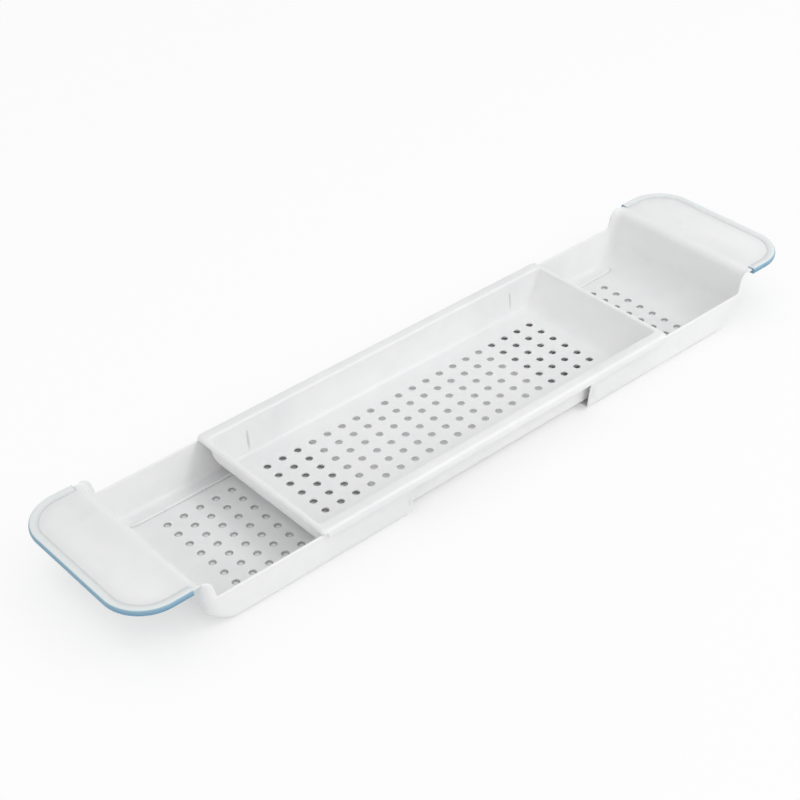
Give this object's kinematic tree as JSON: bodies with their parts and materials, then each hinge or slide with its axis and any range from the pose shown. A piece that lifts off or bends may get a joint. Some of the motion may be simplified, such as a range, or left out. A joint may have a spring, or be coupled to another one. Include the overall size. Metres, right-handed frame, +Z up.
{
  "type": "bath caddy",
  "caption": "Expanding bath caddy: a perforated centre tray on two sliding arm trays whose scooped ends roll up into lugs with soft grips that rest on the bath rim.",
  "frame": {"origin": "middle of the caddy in plan, at the underside of the two arm trays, with the arms pulled out as the picture shows", "axes": "+X along the caddy towards the right arm, +Y across it towards the back long side, +Z up"},
  "size_m": [0.7762, 0.1754, 0.0578],
  "materials": {
    "white_plastic": "moulded polypropylene, white, satin",
    "soft_grip": "soft thermoplastic elastomer, blue-green, matt"
  },
  "bodies": {
    "centre": {"centre_tray": "white_plastic"},
    "left_arm": {"left_arm_tray": "white_plastic", "left_grip": "soft_grip"},
    "right_arm": {"right_arm_tray": "white_plastic", "right_grip": "soft_grip"}
  },
  "joints": [
    {"name": "left_arm_slide", "type": "slide", "parent": "centre", "child": "left_arm", "axis": [-1, 0, 0], "range_m": [-0.103, 0.045]},
    {"name": "right_arm_slide", "type": "slide", "parent": "centre", "child": "right_arm", "axis": [1, 0, 0], "range_m": [-0.103, 0.045]}
  ]
}
